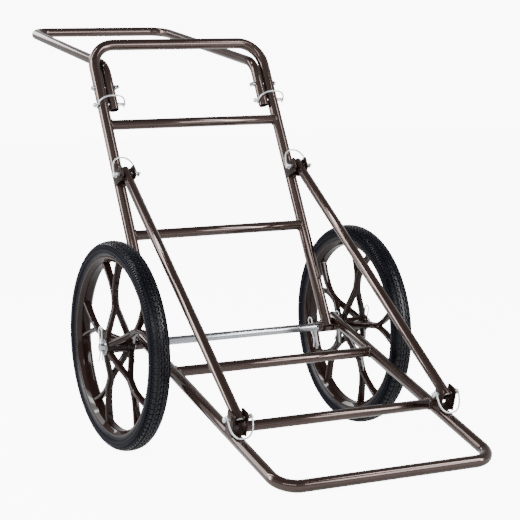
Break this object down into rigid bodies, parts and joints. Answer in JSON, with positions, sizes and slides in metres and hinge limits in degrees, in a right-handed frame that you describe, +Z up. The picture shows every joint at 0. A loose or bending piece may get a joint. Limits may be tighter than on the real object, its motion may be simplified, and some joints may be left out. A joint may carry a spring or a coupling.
{
  "type": "game cart",
  "caption": "Folding two-wheeled game cart: leaning tubular back frame with pull handle, sloping bed frame, side braces, lock pins and spoked wheels.",
  "frame": {"origin": "on the floor, under the middle of the cart's overall width and length", "axes": "+X along the axle, towards the cart's right-hand side as seen by someone facing the front bar, +Y rearward towards the pull handle, +Z up"},
  "size_m": [0.754, 1.5418, 1.0575],
  "materials": {
    "frame_paint": "gloss bronze-brown powder coat",
    "bracket_paint": "semi-gloss dark bronze-brown",
    "rim_plastic": "gloss dark brown",
    "bush_plastic": "matte black",
    "tyre": "matte black rubber",
    "zinc": "bright zinc plate"
  },
  "bodies": {
    "back_frame": {"back_frame_tube": "frame_paint", "back_lower_cross_tube": "frame_paint", "back_upper_cross_tube": "frame_paint", "back_sleeve_left": "frame_paint", "back_sleeve_right": "frame_paint", "back_bracket_left": "bracket_paint", "back_bracket_right": "bracket_paint", "axle": "zinc", "wheel_washer_inner_left": "zinc", "wheel_washer_inner_right": "zinc", "wheel_washer_outer_left": "zinc", "wheel_washer_outer_right": "zinc", "handle_bolt_left": "zinc", "handle_washer_outer_left": "zinc", "handle_washer_inner_left": "zinc", "handle_bolt_right": "zinc", "handle_washer_outer_right": "zinc", "handle_washer_inner_right": "zinc"},
    "bed": {"bed_frame_tube": "frame_paint", "bed_rear_cross_tube": "frame_paint", "bed_front_cross_tube": "frame_paint", "bed_sleeve_left": "frame_paint", "bed_sleeve_right": "frame_paint", "bed_bracket_left": "bracket_paint", "bed_bracket_right": "bracket_paint"},
    "handle": {"handle_tube": "frame_paint"},
    "brace_left": {"brace_left": "frame_paint"},
    "wing_nut_left": {"wing_nut_left": "zinc"},
    "wheel_left": {"rim_left": "rim_plastic", "tyre_left": "tyre", "hub_bush_left": "bush_plastic"},
    "handle_lock_left_pin": {"handle_lock_left_pin": "zinc"},
    "handle_lock_left_wire": {"handle_lock_left_wire": "zinc"},
    "brace_upper_left_pin": {"brace_upper_left_pin": "zinc"},
    "brace_upper_left_wire": {"brace_upper_left_wire": "zinc"},
    "brace_lower_left_pin": {"brace_lower_left_pin": "zinc"},
    "brace_lower_left_wire": {"brace_lower_left_wire": "zinc"},
    "axle_clip_inner_left": {"axle_clip_inner_left": "zinc"},
    "axle_clip_hub_left": {"axle_clip_hub_left": "zinc"},
    "axle_clip_outer_left": {"axle_clip_outer_left": "zinc"},
    "brace_right": {"brace_right": "frame_paint"},
    "wing_nut_right": {"wing_nut_right": "zinc"},
    "wheel_right": {"rim_right": "rim_plastic", "tyre_right": "tyre", "hub_bush_right": "bush_plastic"},
    "handle_lock_right_pin": {"handle_lock_right_pin": "zinc"},
    "handle_lock_right_wire": {"handle_lock_right_wire": "zinc"},
    "brace_upper_right_pin": {"brace_upper_right_pin": "zinc"},
    "brace_upper_right_wire": {"brace_upper_right_wire": "zinc"},
    "brace_lower_right_pin": {"brace_lower_right_pin": "zinc"},
    "brace_lower_right_wire": {"brace_lower_right_wire": "zinc"},
    "axle_clip_inner_right": {"axle_clip_inner_right": "zinc"},
    "axle_clip_hub_right": {"axle_clip_hub_right": "zinc"},
    "axle_clip_outer_right": {"axle_clip_outer_right": "zinc"}
  },
  "joints": [
    {"name": "bed_fold", "type": "hinge", "parent": "back_frame", "child": "bed", "pos_m": [0, -0.0556, 0.254], "axis": [-1, 0, 0], "range_deg": [0, 110]},
    {"name": "handle_fold", "type": "hinge", "parent": "back_frame", "child": "handle", "pos_m": [0, 0.19992, 0.87795], "axis": [-1, 0, 0], "range_deg": [0, 110]},
    {"name": "brace_fold_left", "type": "hinge", "parent": "back_frame", "child": "brace_left", "pos_m": [-0.2434, 0.05046, 0.66298], "axis": [-1, 0, 0], "range_deg": [0, 132]},
    {"name": "wing_nut_turn_left", "type": "hinge", "parent": "back_frame", "child": "wing_nut_left", "pos_m": [-0.193, 0.19992, 0.87795], "axis": [1, 0, 0], "continuous": true},
    {"name": "wheel_spin_left", "type": "hinge", "parent": "back_frame", "child": "wheel_left", "pos_m": [-0.328, -0.0556, 0.254], "axis": [1, 0, 0], "continuous": true},
    {"name": "handle_lock_left_pin_pull", "type": "slide", "parent": "back_frame", "child": "handle_lock_left_pin", "axis": [-1, 0, 0], "range_m": [0, 0.08]},
    {"name": "handle_lock_left_wire_swing", "type": "hinge", "parent": "handle", "child": "handle_lock_left_wire", "pos_m": [-0.2281, 0.18095, 0.83494], "axis": [1, 0, 0], "range_deg": [0, 70]},
    {"name": "brace_upper_left_pin_pull", "type": "slide", "parent": "back_frame", "child": "brace_upper_left_pin", "axis": [-1, 0, 0], "range_m": [0, 0.08]},
    {"name": "brace_upper_left_wire_swing", "type": "hinge", "parent": "back_frame", "child": "brace_upper_left_wire", "pos_m": [-0.2425, 0.05046, 0.66298], "axis": [1, 0, 0], "range_deg": [0, 95]},
    {"name": "brace_lower_left_pin_pull", "type": "slide", "parent": "bed", "child": "brace_lower_left_pin", "axis": [-1, 0, 0], "range_m": [0, 0.08]},
    {"name": "brace_lower_left_wire_swing", "type": "hinge", "parent": "bed", "child": "brace_lower_left_wire", "pos_m": [-0.2712, -0.56505, 0.13821], "axis": [-1, 0, 0], "range_deg": [0, 60]},
    {"name": "axle_clip_inner_left_pull", "type": "slide", "parent": "back_frame", "child": "axle_clip_inner_left", "axis": [0, 0, 1], "range_m": [0, 0.08]},
    {"name": "axle_clip_hub_left_pull", "type": "slide", "parent": "back_frame", "child": "axle_clip_hub_left", "axis": [0, 0, 1], "range_m": [0, 0.08]},
    {"name": "axle_clip_outer_left_pull", "type": "slide", "parent": "back_frame", "child": "axle_clip_outer_left", "axis": [0, 0, 1], "range_m": [0, 0.08]},
    {"name": "brace_fold_right", "type": "hinge", "parent": "back_frame", "child": "brace_right", "pos_m": [0.2434, 0.05046, 0.66298], "axis": [-1, 0, 0], "range_deg": [0, 132]},
    {"name": "wing_nut_turn_right", "type": "hinge", "parent": "back_frame", "child": "wing_nut_right", "pos_m": [0.193, 0.19992, 0.87795], "axis": [1, 0, 0], "continuous": true},
    {"name": "wheel_spin_right", "type": "hinge", "parent": "back_frame", "child": "wheel_right", "pos_m": [0.328, -0.0556, 0.254], "axis": [1, 0, 0], "continuous": true},
    {"name": "handle_lock_right_pin_pull", "type": "slide", "parent": "back_frame", "child": "handle_lock_right_pin", "axis": [-1, 0, 0], "range_m": [0, 0.08]},
    {"name": "handle_lock_right_wire_swing", "type": "hinge", "parent": "handle", "child": "handle_lock_right_wire", "pos_m": [0.2281, 0.18095, 0.83494], "axis": [1, 0, 0], "range_deg": [0, 70]},
    {"name": "brace_upper_right_pin_pull", "type": "slide", "parent": "back_frame", "child": "brace_upper_right_pin", "axis": [-1, 0, 0], "range_m": [0, 0.08]},
    {"name": "brace_upper_right_wire_swing", "type": "hinge", "parent": "back_frame", "child": "brace_upper_right_wire", "pos_m": [0.2425, 0.05046, 0.66298], "axis": [1, 0, 0], "range_deg": [0, 95]},
    {"name": "brace_lower_right_pin_pull", "type": "slide", "parent": "bed", "child": "brace_lower_right_pin", "axis": [-1, 0, 0], "range_m": [0, 0.08]},
    {"name": "brace_lower_right_wire_swing", "type": "hinge", "parent": "bed", "child": "brace_lower_right_wire", "pos_m": [0.2712, -0.56505, 0.13821], "axis": [-1, 0, 0], "range_deg": [0, 60]},
    {"name": "axle_clip_inner_right_pull", "type": "slide", "parent": "back_frame", "child": "axle_clip_inner_right", "axis": [0, 0.454, 0.891], "range_m": [0, 0.08]},
    {"name": "axle_clip_hub_right_pull", "type": "slide", "parent": "back_frame", "child": "axle_clip_hub_right", "axis": [0, 0, 1], "range_m": [0, 0.08]},
    {"name": "axle_clip_outer_right_pull", "type": "slide", "parent": "back_frame", "child": "axle_clip_outer_right", "axis": [0, -0.342, 0.9397], "range_m": [0, 0.08]}
  ],
  "couplings": [
    {"joint": "brace_fold_left", "follows": "bed_fold", "ratio": 1.2},
    {"joint": "brace_fold_right", "follows": "bed_fold", "ratio": 1.2}
  ]
}
